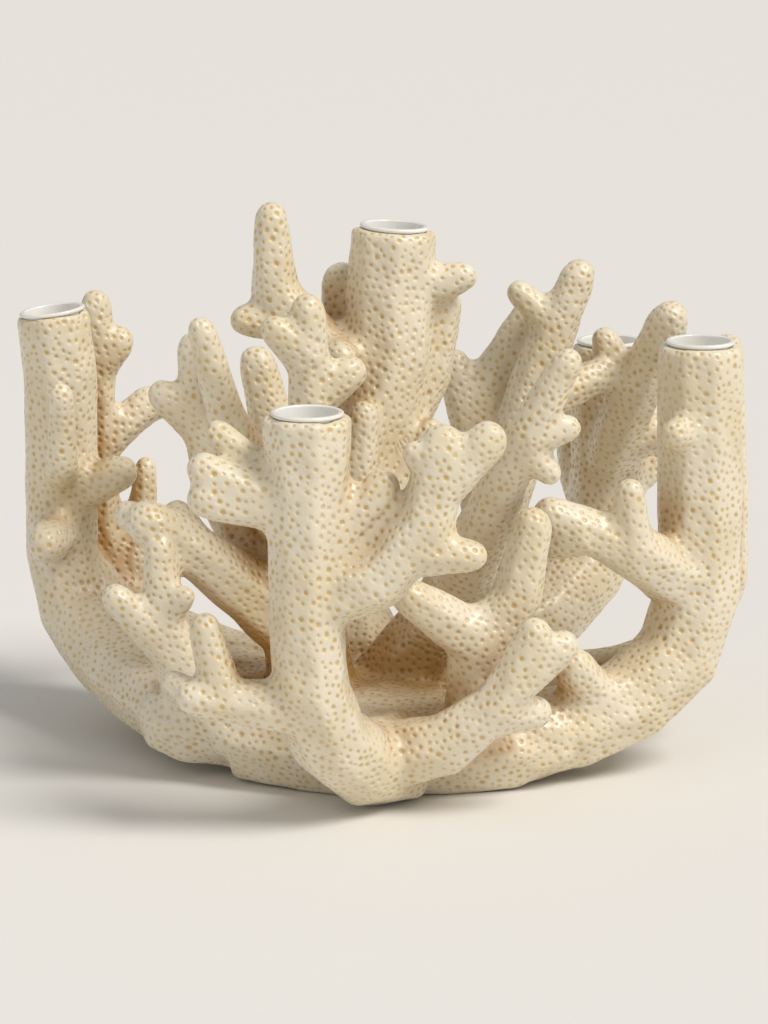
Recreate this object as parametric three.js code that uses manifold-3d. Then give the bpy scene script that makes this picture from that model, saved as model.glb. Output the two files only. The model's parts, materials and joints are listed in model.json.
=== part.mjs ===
// Coral candle holder: a resin casting of branching coral that carries five enamelled candle cups.
//
// Millimetres, +Z up, +X to the right and +Y to the back. The origin is in the flat underside.
// A limb is a round bar that tapers along a curved centre line and ends in a round tip. The
// casting is split at its main forks, and each later piece is cut clear of the earlier ones.

import * as THREE from 'three';
import { mergeVertices } from 'three/addons/utils/BufferGeometryUtils.js';
import Module from 'manifold-3d';

const wasm = await Module();
wasm.setup();

// Driving dimensions
const GAP = 0.3;
const NECK = 22;
const CANDLE_BORE = 22.5;
const CUP_WALL = 0.8;
const CUP_DEPTH = 20;
const LIP_WIDTH = 26.9;
const LIP_HEIGHT = 1.6;
const LIP_CHAMFER = 0.5;
const LIP_CLEARANCE = 2;
const LIP_ROOM_HEIGHT = 40;
const SOCKET_ABOVE = 50;
const PILLAR = 16.5;
const GROUND_BLOCK = 500;

// The middle of each cup's rim, and how far and towards which bearing the cup leans
const CUPS = {
  front: { rim: [-28, -105, 162], lean: 0, toward: 0 },
  left: { rim: [-135, 60, 171], lean: 7, toward: 180 },
  centre: { rim: [4, 5, 214], lean: 3.5, toward: 0 },
  right: { rim: [123, -10, 171], lean: 0, toward: 0 },
  rear_right: { rim: [94, 100, 151], lean: 0, toward: 0 },
};

// Mesh detail
const PILLAR_SIDES = 8;
const TWIG_SIDES = 6;
const PILLAR_STEP = 25;
const TWIG_STEP = 32;
const PILLAR_SHAPE = { sides: PILLAR_SIDES, step: PILLAR_STEP, blunt: true };
const CUP_SIDES = 14;
const MERGE_WITHIN = 1e-3;
const ARC_STEP = 22.5;
const TWIG_CHORDS = 6;
const HEIGHT_SAMPLES = 60;

// A round tip has one ring, this share of the end radius wide and this share of it past the end
const TIP_RING = { radius: 0.72, past: 0.7 };

// The most that may fall away from a piece when it is cut, mm3
const CRUMB = 40;

const resin = new THREE.MeshStandardMaterial({ color: 0xe9dfc8, roughness: 0.5, metalness: 0 });
const enamel = new THREE.MeshStandardMaterial({ color: 0xf3f1ea, roughness: 0.25, metalness: 0 });

const radians = THREE.MathUtils.degToRad;

// A unit vector: bearing 0 is +X and 90 is +Y, climb 0 is level and 90 is straight up
function heading(bearing, climb) {
  const level = Math.cos(radians(climb));
  return new THREE.Vector3(
    level * Math.cos(radians(bearing)), level * Math.sin(radians(bearing)), Math.sin(radians(climb)));
}

// A three.js geometry made into a manifold solid
function solid(geometry) {
  const bare = geometry.clone();
  bare.deleteAttribute('normal');
  bare.deleteAttribute('uv');
  const merged = mergeVertices(bare, MERGE_WITHIN);
  return new wasm.Manifold(new wasm.Mesh({
    numProp: 3,
    vertProperties: new Float32Array(merged.attributes.position.array),
    triVerts: new Uint32Array(merged.index.array),
  }));
}

// A value read from a list that is spread evenly from root to tip
function spread(list, share) {
  const place = share * (list.length - 1);
  const before = Math.min(Math.floor(place), list.length - 2);
  return THREE.MathUtils.lerp(list[before], list[before + 1], place - before);
}

// A lathed profile bent along the curve: one ring a step, then a round tip or a flat blunt end
function bar(curve, radii, { sides, step, blunt, extra = 0 }) {
  const steps = Math.max(1, Math.round(curve.getLength() / step));
  const frames = curve.computeFrenetFrames(steps, false);
  const evenArea = Math.sqrt(((2 * Math.PI) / sides) / Math.sin((2 * Math.PI) / sides));
  const rings = [{ at: 0, radius: 0, past: 0 }];
  for (let i = 0; i <= steps; i += 1) {
    const radius = (spread(radii, i / steps) + extra) * evenArea;
    rings.push({ at: i, radius, past: 0 });
  }
  const end = (radii[radii.length - 1] + extra) * evenArea;
  if (!blunt) {
    rings.push({ at: steps, radius: end * TIP_RING.radius, past: end * TIP_RING.past });
  }
  rings.push({ at: steps, radius: 0, past: blunt ? 0 : end });
  const profile = rings.map((ring, i) => new THREE.Vector2(ring.radius, i));
  const geometry = new THREE.LatheGeometry(profile, sides);
  const position = geometry.attributes.position;
  const point = new THREE.Vector3();
  for (let i = 0; i < position.count; i += 1) {
    const ring = rings[i % rings.length];
    point.copy(curve.getPointAt(ring.at / steps));
    point.addScaledVector(frames.tangents[ring.at], ring.past);
    point.addScaledVector(frames.normals[ring.at], position.getX(i));
    point.addScaledVector(frames.binormals[ring.at], -position.getZ(i));
    position.setXYZ(i, point.x, point.y, point.z);
  }
  return solid(geometry);
}

// A limb's centre line, its radii from root to tip, and how finely it is made
function limb(points, thick, shape = {}) {
  const curve = new THREE.CatmullRomCurve3(points, false, 'centripetal');
  return { curve, thick, shape: { sides: TWIG_SIDES, step: TWIG_STEP, ...shape } };
}

// The point where a limb's centre line passes a height, looking down from its far end
function atHeight(parent, height) {
  const points = parent.curve.getSpacedPoints(HEIGHT_SAMPLES).reverse();
  return points.find((point) => point.z <= height) ?? points[points.length - 1];
}

const along = (parent, share) => parent.curve.getPointAt(share);

// An angle that is one number all the way, or a pair that it changes between
function angleAt(angle, share) {
  return Array.isArray(angle) ? spread(angle, share) : angle;
}

// A limb whose bearing and climb change evenly from its root to its tip
function twig(start, bearing, climb, reach, thick) {
  const points = [start.clone()];
  for (let i = 0; i < TWIG_CHORDS; i += 1) {
    const share = (i + 0.5) / TWIG_CHORDS;
    const way = heading(angleAt(bearing, share), angleAt(climb, share));
    points.push(points[i].clone().addScaledVector(way, reach / TWIG_CHORDS));
  }
  return limb(points, thick);
}

function cupAxis(cup) {
  return heading(cup.toward, 90 - cup.lean);
}

// A quarter ellipse that sweeps out from the root and turns upright at the bend height
function sweepUp(root, stand, bend) {
  const points = [];
  for (let angle = 0; angle < 90; angle += ARC_STEP) {
    const out = Math.sin(radians(angle));
    const up = 1 - Math.cos(radians(angle));
    points.push(new THREE.Vector3(
      root[0] + (stand.x - root[0]) * out,
      root[1] + (stand.y - root[1]) * out,
      root[2] + (bend - root[2]) * up));
  }
  points.push(new THREE.Vector3(stand.x, stand.y, bend));
  return points;
}

// The straight neck under a cup's lip: its foot, and its flat top
function cupNeck(cup) {
  const axis = cupAxis(cup);
  const top = new THREE.Vector3(...cup.rim).addScaledVector(axis, -LIP_HEIGHT - GAP);
  return [top.clone().addScaledVector(axis, -NECK), top];
}

// An arm that sweeps up and then carries a cup
function pillar(cup, root, bend, thick) {
  const [neck, top] = cupNeck(cup);
  return limb([...sweepUp(root, neck, bend), neck, top], thick, PILLAR_SHAPE);
}

// An upright arm with no cup
function stem(root, stand, bend, top, thick) {
  const foot = new THREE.Vector3(...stand, bend);
  return limb([...sweepUp(root, foot, bend), new THREE.Vector3(...stand, top)], thick);
}

// A limb through points that are given one by one
function through(points, thick, shape = {}) {
  return limb(points.map((point) => new THREE.Vector3(...point)), thick, shape);
}

function rootLimb(from, to, thick) {
  return through([from, to], thick);
}

// ---- base ----
const base = [
  rootLimb([22, -12, 11], [-80, -24, 22], [20, 16]),
  rootLimb([-20, -30, 11], [60, -37, 18], [20, 16]),
  rootLimb([-56, -30, 18], [2, -54, 15], [17, 17]),
  rootLimb([-4, -50, 15], [50, -40, 17], [17, 17]),
  rootLimb([-30, 26, 13], [36, 14, 13], [17, 17]),
  rootLimb([0, -10, 10], [-2, 58, 13], [21, 17]),
  rootLimb([-4, 14, 12], [44, 34, 17], [18, 16]),
  rootLimb([0, 0, 12], [-52, 14, 18], [19, 15]),
];

// ---- front arm and its forks ----
const frontPillar = pillar(CUPS.front, [6, -54, 15], 66, [18, 15, 13.5, 14, PILLAR]);
const frontArm = [
  frontPillar,
  twig(atHeight(frontPillar, 122), 182, [5, 50], 43, [11, 7]),
  twig(atHeight(frontPillar, 124), 184, [18, 0], 38, [9, 7]),
  twig(atHeight(frontPillar, 125), 158, [25, 50], 45, [8, 5.5]),
  twig(atHeight(frontPillar, 100), 2, [40, 62], 44, [9, 7]),
];
const frontBough = twig(atHeight(frontPillar, 91), 355, [5, 95], 86, [12, 11, 8.5]);
const frontRight = [
  frontBough,
  twig(along(frontBough, 0.5), 350, 0, 24, [9, 6]),
  twig(along(frontBough, 0.86), 190, 45, 14, [7, 5]),
  twig(along(frontBough, 0.8), 0, 48, 26, [8, 7.5]),
];
const lowLeftBough = twig(atHeight(frontPillar, 50), 188, [0, 15], 46, [11, 6.5]);
const frontLowLeft = [
  lowLeftBough,
  twig(along(lowLeftBough, 0.72), 165, [60, 88], 30, [8, 6]),
  twig(along(lowLeftBough, 0.9), 150, 22, 15, [6, 4.5]),
];
const lowRightBough = twig(new THREE.Vector3(-4, -68, 19), 345, [2, 78], 88, [14, 7]);
const frontLowRight = [
  lowRightBough,
  twig(along(lowRightBough, 0.75), 5, [48, 32], 24, [8, 6.5]),
  twig(along(lowRightBough, 0.58), 15, 0, 18, [8, 6.5]),
];

// ---- left arm, the stem behind it and the cluster before it ----
const leftPillar = pillar(CUPS.left, [-72, -25, 22], 62, [17, 15, 14.5, 15]);
const leftArm = [
  leftPillar,
  limb(sweepUp([-22, 8, 19], new THREE.Vector3(-124, 62, 0), 58), [14, 12]),
  twig(atHeight(leftPillar, 98), 276, [0, 108], 62, [8, 5]),
  twig(atHeight(leftPillar, 92), 330, 28, 34, [10, 7]),
  twig(atHeight(leftPillar, 80), 264, 2, 32, [9.5, 8]),
  twig(atHeight(leftPillar, 104), 105, [20, 60], 52, [9, 5]),
];
const leftRearMain = stem([-14, 28, 19], [-119, 86], 60, 168, [14, 11, 6.5]);
const leftRear = [
  leftRearMain,
  twig(atHeight(leftRearMain, 143), 0, 52, 16, [7.5, 6.5]),
  twig(atHeight(leftRearMain, 108), 22, [48, -5], 58, [9, 5.5]),
  twig(atHeight(leftRearMain, 44), 50, [60, 90], 58, [10, 4.5]),
  twig(atHeight(leftRearMain, 66), 112, [30, 68], 50, [9.5, 5]),
];
const clusterMain = twig(new THREE.Vector3(-58, -32, 18), 186, [40, 98], 84, [13, 6]);
const cluster = [
  clusterMain,
  twig(along(clusterMain, 0.5), 196, [48, 44], 32, [8.5, 6]),
  twig(along(clusterMain, 0.68), 325, 40, 15, [6, 4.5]),
];

// ---- centre arm and its forks ----
const centreTrunk = through([
  [-26, 2, 14], [-32, -2, 68], [-13, -6, 116], [1, -1, 156], ...cupNeck(CUPS.centre),
], [PILLAR, PILLAR], PILLAR_SHAPE);
const centreArm = [
  centreTrunk,
  twig(atHeight(centreTrunk, 188), 355, 18, 30, [10, 6]),
  twig(atHeight(centreTrunk, 118), 26, [32, 86], 80, [13, 8]),
  twig(atHeight(centreTrunk, 130), 108, [40, 88], 68, [12, 8]),
];
const leftLimb = twig(atHeight(centreTrunk, 158), 181, [0, 106], 86, [13, 10.5, 6.5]);
const centreLeft = [
  leftLimb,
  twig(along(leftLimb, 0.5), 190, 5, 18, [8, 6.5]),
  twig(along(leftLimb, 0.25), 278, 8, 18, [8.5, 7]),
];
const handStem = twig(atHeight(centreTrunk, 96), 262, [38, 95], 107, [11, 7]);
const hand = [
  handStem,
  twig(along(handStem, 0.82), 195, 45, 18, [8, 6]),
  twig(along(handStem, 0.68), 10, 32, 18, [9, 7]),
];
const frontTwigMain = twig(atHeight(centreTrunk, 74), 318, [38, 95], 82, [11, 6]);
const centreFront = [
  frontTwigMain,
  twig(along(frontTwigMain, 0.4), 12, [30, 66], 52, [9, 5.5]),
];

// ---- forks left of centre ----
const innerBough = twig(atHeight(centreTrunk, 48), 206, [46, 33], 86, [14, 9]);
const innerLeft = [
  innerBough,
  twig(along(innerBough, 0.7), 170, 62, 18, [9, 6]),
  twig(along(innerBough, 0.85), 170, 25, 20, [8, 6]),
];
const innerStemMain = twig(atHeight(centreTrunk, 64), 157, [38, 92], 116, [12, 6]);
const innerStem = [
  innerStemMain,
  twig(along(innerStemMain, 0.72), 182, 42, 20, [8, 6]),
];
const longFinger = [
  twig(atHeight(centreTrunk, 84), 213, [48, 78], 110, [11, 5.5]),
];

// ---- forks right of centre ----
const forkMain = twig(new THREE.Vector3(34, -48, 16), 278, [70, 82], 52, [12, 11]);
const fork = [
  forkMain,
  twig(along(forkMain, 0.95), 203, [45, 25], 34, [11, 7.5]),
  twig(along(forkMain, 0.85), 5, [42, 92], 55, [11, 7.5]),
];
const innerRightMain = through([
  [0, 16, 24], [25, 6, 60], [38, -26, 98], [54, -50, 142], [69, -54, 170],
], [15, 6]);
const innerRight = [
  innerRightMain,
  twig(along(innerRightMain, 0.82), 5, 8, 16, [7.5, 5.5]),
  twig(along(innerRightMain, 0.8), 0, -48, 16, [7, 5]),
  twig(along(innerRightMain, 0.3), 110, [35, 82], 60, [10, 5]),
];

// ---- right arm, its left branch and the stem behind it ----
const rightPillar = pillar(CUPS.right, [52, -37, 18], 66, [17, 17, PILLAR, PILLAR]);
const rightArm = [
  rightPillar,
  twig(atHeight(rightPillar, 130), 240, 22, 24, [8.5, 6]),
  twig(atHeight(rightPillar, 24), 235, 48, 32, [11, 8]),
];
const rightBough = twig(atHeight(rightPillar, 72), [238, 178], [30, 26], 79, [14, 10.5, 7]);
const rightLeft = [
  rightBough,
  twig(along(rightBough, 0.55), 260, 80, 24, [9, 6]),
  twig(along(rightBough, 0.8), 170, -20, 14, [8.5, 7]),
];
const rightRearMain = stem([36, 30, 20], [136, 16], 60, 162, [14, 9, 6.5]);
const rightRear = [
  rightRearMain,
  twig(atHeight(rightRearMain, 64), 102, [35, 82], 58, [9, 5]),
];

// ---- rear right arm and its forks ----
const rearPillar = pillar(CUPS.rear_right, [16, 32, 24], 80, [17, 16, 15]);
const rearRight = [
  rearPillar,
  twig(atHeight(rearPillar, 90), 15, [15, 45], 46, [11, 6]),
  twig(atHeight(rearPillar, 72), 118, [30, 80], 60, [11, 5]),
];
const twinMain = twig(atHeight(rearPillar, 94), [268, 318], [42, 62], 96, [12, 8]);
const twin = [
  twinMain,
  twig(along(twinMain, 0.5), 196, 70, 29, [9, 6.5]),
  twig(along(twinMain, 0.25), 350, 15, 30, [9.5, 7]),
];
const tallMain = through([
  [46, 54, 30], [43, 52, 70], [50, 50, 106], [62, 50, 140], [69, 50, 168], [78, 50, 186],
], [12, 12, 12, 10, 7]);
const tall = [
  tallMain,
  twig(along(tallMain, 0.86), 182, 45, 19, [7, 5.5]),
  twig(along(tallMain, 0.66), 20, [10, 25], 32, [10, 7]),
  through([[44, 52, 76], [38, 62, 115], [45, 66, 145], [60, 66, 170]], [10, 10, 6]),
  twig(new THREE.Vector3(38, 62, 116), 170, [60, 85], 32, [9, 7]),
];

// ---- rear arm ----
const rearMain = twig(new THREE.Vector3(-2, 48, 16), [98, 180], [28, 82], 155, [15, 8]);
const rear = [
  rearMain,
  twig(along(rearMain, 0.36), 40, [50, 92], 70, [11, 6]),
  twig(along(rearMain, 0.28), 105, [48, 60], 54, [11, 5.5]),
];

// The pieces in the order that they are cut clear of each other: the first keeps its whole shape
const PIECES = {
  base_root: base,
  front_arm: frontArm,
  left_arm: leftArm,
  right_arm: rightArm,
  rear_right_arm: rearRight,
  centre_arm: centreArm,
  rear_arm: rear,
  left_rear_stem: leftRear,
  right_rear_stem: rightRear,
  centre_left_limb: centreLeft,
  front_right_branch: frontRight,
  front_low_left_branch: frontLowLeft,
  front_low_right_branch: frontLowRight,
  left_twig_cluster: cluster,
  hand_branch: hand,
  centre_front_twig: centreFront,
  inner_left_branch: innerLeft,
  inner_left_stem: innerStem,
  long_finger_stem: longFinger,
  fork_stem: fork,
  inner_right_branch: innerRight,
  right_left_branch: rightLeft,
  twin_tip_stem: twin,
  tall_rear_stem: tall,
};

// The limbs of a piece joined, each grown by the extra
function union(limbs, extra) {
  const solids = limbs.map((part) => bar(part.curve, part.thick, { ...part.shape, extra }));
  return solids.reduce((whole, next) => whole.add(next));
}

// A block under the ground, and the bores that the cups sit in
const ground = solid(new THREE.BoxGeometry(GROUND_BLOCK, GROUND_BLOCK, GROUND_BLOCK)
  .translate(0, 0, -GROUND_BLOCK / 2));
const cupOuter = CANDLE_BORE / 2 + CUP_WALL;

// A shape lathed about its own Y, stood on a cup's axis with its middle at the rim
function cupPlace(geometry, cup) {
  const turn = new THREE.Quaternion().setFromUnitVectors(new THREE.Vector3(0, 0, 1), cupAxis(cup));
  return geometry.rotateX(Math.PI / 2).applyQuaternion(turn).translate(...cup.rim);
}

function socket(cup) {
  const height = CUP_DEPTH + GAP + SOCKET_ABOVE;
  const bore = new THREE.CylinderGeometry(cupOuter + GAP, cupOuter + GAP, height, CUP_SIDES);
  return solid(cupPlace(bore.translate(0, height / 2 - CUP_DEPTH - GAP, 0), cup));
}

// The flange reaches past the bore, so the coral above its underside is cleared too
function lipRoom(cup) {
  const reach = LIP_WIDTH / 2 + LIP_CLEARANCE;
  const room = new THREE.CylinderGeometry(reach, reach, LIP_ROOM_HEIGHT, CUP_SIDES);
  return solid(cupPlace(room.translate(0, LIP_ROOM_HEIGHT / 2 - LIP_HEIGHT - GAP, 0), cup));
}

function cupGeometry() {
  const inner = CANDLE_BORE / 2;
  const lip = LIP_WIDTH / 2;
  const profile = [
    [0, -CUP_DEPTH], [cupOuter, -CUP_DEPTH], [cupOuter, -LIP_HEIGHT], [lip, -LIP_HEIGHT],
    [lip, -LIP_CHAMFER], [lip - LIP_CHAMFER, 0], [inner, 0],
    [inner, CUP_WALL - CUP_DEPTH], [0, CUP_WALL - CUP_DEPTH],
  ];
  return new THREE.LatheGeometry(profile.map(([r, y]) => new THREE.Vector2(r, y)), CUP_SIDES);
}

const rooms = Object.values(CUPS).map((cup) => socket(cup).add(lipRoom(cup)));
const clearances = rooms.reduce((whole, next) => whole.add(next));

function toGeometry(whole) {
  const mesh = whole.getMesh();
  const geometry = new THREE.BufferGeometry();
  geometry.setAttribute('position', new THREE.BufferAttribute(mesh.vertProperties, 3));
  geometry.setIndex(new THREE.BufferAttribute(mesh.triVerts, 1));
  geometry.computeVertexNormals();
  return geometry;
}

// The largest body of a cut piece; only crumbs may fall away
function oneBody(name, whole) {
  const bodies = whole.decompose().sort((a, b) => b.volume() - a.volume());
  const lost = bodies.slice(1).reduce((sum, body) => sum + body.volume(), 0);
  if (lost > CRUMB) {
    throw new Error(`${name} is cut in ${bodies.length}, losing ${lost.toFixed(0)} mm3`);
  }
  return bodies[0];
}

const holder = new THREE.Group();
let taken = ground.add(clearances);
for (const [name, limbs] of Object.entries(PIECES)) {
  const piece = oneBody(name, union(limbs, 0).subtract(taken));
  const mesh = new THREE.Mesh(toGeometry(piece), resin);
  mesh.name = name;
  holder.add(mesh);
  taken = taken.add(union(limbs, GAP));
}
for (const [name, cup] of Object.entries(CUPS)) {
  const geometry = cupGeometry().rotateX(Math.PI / 2);
  const mesh = new THREE.Mesh(geometry, enamel);
  mesh.name = `cup_${name}`;
  mesh.quaternion.setFromUnitVectors(new THREE.Vector3(0, 0, 1), cupAxis(cup));
  mesh.position.set(...cup.rim);
  holder.add(mesh);
}

export default holder;
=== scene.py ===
"""Coral candle holder: a cast resin coral with five enamelled candle cups."""

import json
import math

import bpy
import numpy as np
import openvdb
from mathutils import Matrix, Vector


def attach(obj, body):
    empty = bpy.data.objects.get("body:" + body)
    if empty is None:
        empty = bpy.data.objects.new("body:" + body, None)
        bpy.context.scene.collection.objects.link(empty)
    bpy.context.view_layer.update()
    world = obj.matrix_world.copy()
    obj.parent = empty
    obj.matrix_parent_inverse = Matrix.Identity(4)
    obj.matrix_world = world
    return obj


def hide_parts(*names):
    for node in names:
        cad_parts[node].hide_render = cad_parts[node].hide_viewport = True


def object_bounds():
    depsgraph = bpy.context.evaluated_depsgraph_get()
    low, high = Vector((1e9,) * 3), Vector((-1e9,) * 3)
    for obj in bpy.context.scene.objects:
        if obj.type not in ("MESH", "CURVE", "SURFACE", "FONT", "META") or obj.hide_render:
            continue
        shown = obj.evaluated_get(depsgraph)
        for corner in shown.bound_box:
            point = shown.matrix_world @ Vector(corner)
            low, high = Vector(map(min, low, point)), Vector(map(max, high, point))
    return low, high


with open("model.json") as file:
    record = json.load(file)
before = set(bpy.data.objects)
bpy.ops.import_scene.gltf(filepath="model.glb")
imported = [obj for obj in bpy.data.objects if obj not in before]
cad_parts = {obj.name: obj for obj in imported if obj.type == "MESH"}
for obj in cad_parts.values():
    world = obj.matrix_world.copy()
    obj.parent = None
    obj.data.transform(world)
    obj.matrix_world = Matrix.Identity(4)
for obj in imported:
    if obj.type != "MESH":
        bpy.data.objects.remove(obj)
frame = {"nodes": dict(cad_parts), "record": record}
CAD_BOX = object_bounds()

bl_info = {
    "name": "Coral candle holder",
    "version": (1, 0, 0),
    "blender": (4, 5, 0),
    "location": "View3D > Sidebar > Coral",
    "description": "Builds a porous resin coral round the packed model, with its cups and stage",
    "category": "Object",
}

MM = 0.001
MARGIN = 11 * MM  # how far the grid of distances reaches past the coral
COARSE = 4  # fine cells along one side of a cell of the shelter grid
SHELTER_REACH = 16 * MM  # width of the bell that shelter is measured in
NO_PORE = 9.0  # a way in radii that no pore reaches
PORE_RIM = 1.25  # where a pore's side ends, in radii
ABOVE_CUP = 60 * MM  # height above the seat up to which a cup's own room is cut clear
LIP_ROOM_RADIUS = 19 * MM  # half the width of the cut that clears the room round a lip
LIP_ROOM_HEIGHT = 26 * MM  # where that cut ends, above the seat
SHRINK = 0.25 * MM  # taken off all over, to make up for part of the lumps' height
FULL_CREASE = 2.2 * MM  # depth of the web at which a crease counts in full
BACKING = 0.8 * MM  # how far under a face its branch is looked up
CAP_DEPTH = 1.2 * MM  # least depth of a seam cap's midline under the skin
CRUMB_FACES = 20000  # a shell with no more faces than this is left out
CANDIDATES = 220000  # places tried for pores
SCATTER_ROUNDS = 30
BARE_FOOT = 2 * MM  # no pore is nearer to the table than this
SEATS = [m for m in frame["record"]["mounts"] if m["name"].startswith("seat_")]
CORAL_NODES = [p["node"] for p in frame["record"]["subparts"] if p["material_slot"] == "resin"]


# ---- settings ----

class CoralSettings(bpy.types.PropertyGroup):
    cell: bpy.props.FloatProperty(
        name="Cell", description="Spacing of the grid that the coral's skin is worked out on",
        default=0.95 * MM, unit="LENGTH")
    soften: bpy.props.FloatProperty(
        name="Soften", description="How far the casting's edges are rounded over",
        default=1.7 * MM, unit="LENGTH")
    web: bpy.props.FloatProperty(
        name="Web", description="How far a fork is filled between its branches",
        default=3.6 * MM, unit="LENGTH")
    swell: bpy.props.FloatProperty(
        name="Swell", description="Height of the slow lumps along a branch",
        default=0.6 * MM, unit="LENGTH")
    pore_gap: bpy.props.FloatProperty(
        name="Pore gap", description="Least width of resin between two pores",
        default=0.8 * MM, unit="LENGTH")
    pore_small: bpy.props.FloatProperty(
        name="Small pore", description="Radius of the smallest pores",
        default=0.72 * MM, unit="LENGTH")
    pore_large: bpy.props.FloatProperty(
        name="Large pore", description="Radius of the largest pores",
        default=1.4 * MM, unit="LENGTH")
    pore_depth: bpy.props.FloatProperty(
        name="Pore depth", description="Depth of a large pore",
        default=0.75 * MM, unit="LENGTH")
    seed: bpy.props.IntProperty(
        name="Seed", description="Seed of the pore pattern", default=11)


class CupSettings(bpy.types.PropertyGroup):
    bore: bpy.props.FloatProperty(
        name="Bore", description="Width of the candle bore", default=22.5 * MM, unit="LENGTH")
    wall: bpy.props.FloatProperty(
        name="Wall", description="Thickness of the cup's sheet", default=0.8 * MM, unit="LENGTH")
    depth: bpy.props.FloatProperty(
        name="Depth", description="Height of the whole cup", default=20.0 * MM, unit="LENGTH")
    lip: bpy.props.FloatProperty(
        name="Lip", description="Width of the rolled lip", default=26.9 * MM, unit="LENGTH")
    lip_height: bpy.props.FloatProperty(
        name="Lip height", description="Height of the rolled lip", default=1.6 * MM, unit="LENGTH")


class FinishSettings(bpy.types.PropertyGroup):
    resin_pale: bpy.props.StringProperty(
        name="Pale resin", description="The lighter tint of the open surface", default="#ECE3CD")
    resin_warm: bpy.props.StringProperty(
        name="Warm resin", description="The warmer tint of the open surface", default="#E3D6B8")
    resin_speck: bpy.props.StringProperty(
        name="Speck", description="Fine specks in the resin", default="#D2C093")
    # Painted shade: a dark amber laid on where the branches close in round a place.
    painted_shade_in_hollows: bpy.props.StringProperty(
        name="Painted shade in hollows", description="Painted shade where the branches close in round a place",
        default="#B58C4F")
    # Partly the amber wash left in the forks, partly painted shade in the creases.
    crease_wash_and_shade: bpy.props.StringProperty(
        name="Wash and painted shade in creases", description="Wash left in the forks, with painted shade", default="#C2A568")
    stain_pore: bpy.props.StringProperty(
        name="Stain in pores", description="Stain in a pore of the open surface",
        default="#DAB973")
    pore_stain_in_painted_shade: bpy.props.StringProperty(
        # Pore stain darkened by painted shade: pores among the branches take this darker amber.
        name="Pore stain in painted shade", description="Stain in a pore, darkened by painted shade among the branches",
        default="#9E783F")
    enamel_white: bpy.props.StringProperty(
        name="Enamel", description="The enamel's white", default="#F7F7F4")
    enamel_cream: bpy.props.StringProperty(
        name="Creamy enamel", description="The enamel's slightly warmer white", default="#EFEDE6")
    paper: bpy.props.StringProperty(
        name="Paper", description="The studio paper under the holder", default="#E6E5E2")


class StageSettings(bpy.types.PropertyGroup):
    distance: bpy.props.FloatProperty(
        name="Distance", description="Camera distance from the holder",
        default=1.518, unit="LENGTH")
    pitch: bpy.props.FloatProperty(
        name="Pitch", description="How far the camera looks down",
        default=math.radians(13), subtype="ANGLE")
    lens: bpy.props.FloatProperty(
        name="Lens", description="Focal length in millimetres", default=135.0)
    aim: bpy.props.FloatProperty(
        name="Aim", description="Height that the camera and the lights point at",
        default=100 * MM, unit="LENGTH")
    sky: bpy.props.FloatProperty(
        name="Sky", description="Strength of the even light from all round", default=0.41)
    sun: bpy.props.FloatProperty(
        name="Sun", description="Strength of the key light", default=2.4)
    fill: bpy.props.FloatProperty(
        name="Fill", description="Power of the fill light in watts", default=1.5)


# ---- materials ----

def linear(colour):
    """An sRGB hex colour as linear red, green, blue and alpha."""
    channels = [int(colour[i:i + 2], 16) / 255 for i in (1, 3, 5)]
    return [c / 12.92 if c <= 0.04045 else ((c + 0.055) / 1.055) ** 2.4 for c in channels] + [1.0]


def add(tree, kind, settings=None, links=None):
    """Adds one node, sets its sockets or properties, and links its inputs."""
    node = tree.nodes.new(kind)
    for key, value in (settings or {}).items():
        if isinstance(key, int) or key in node.inputs:
            node.inputs[key].default_value = value
        else:
            setattr(node, key, value)
    for key, source in (links or {}).items():
        tree.links.new(source, node.inputs[key])
    return node


def new_material(name):
    material = bpy.data.materials.new(name)
    material.use_nodes = True
    tree = material.node_tree
    tree.nodes.clear()
    return material, tree


def blend_colours(tree, factor, low, high):
    """Mixes two colours, each a hex value or a socket, by a factor socket."""
    node = add(tree, "ShaderNodeMix", {"data_type": "RGBA"})
    tree.links.new(factor, node.inputs[0])
    for socket, value in ((node.inputs[6], low), (node.inputs[7], high)):
        if isinstance(value, str):
            socket.default_value = linear(value)
        else:
            tree.links.new(value, socket)
    return node.outputs[2]


def ramp(tree, source, stops, low=0.0, high=1.0):
    """Maps a value between two stops onto low to high, without overshoot."""
    node = add(tree, "ShaderNodeMapRange", {
        "From Min": stops[0], "From Max": stops[1], "To Min": low, "To Max": high,
    }, {"Value": source})
    node.interpolation_type = "SMOOTHSTEP"
    return node.outputs["Result"]


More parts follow.
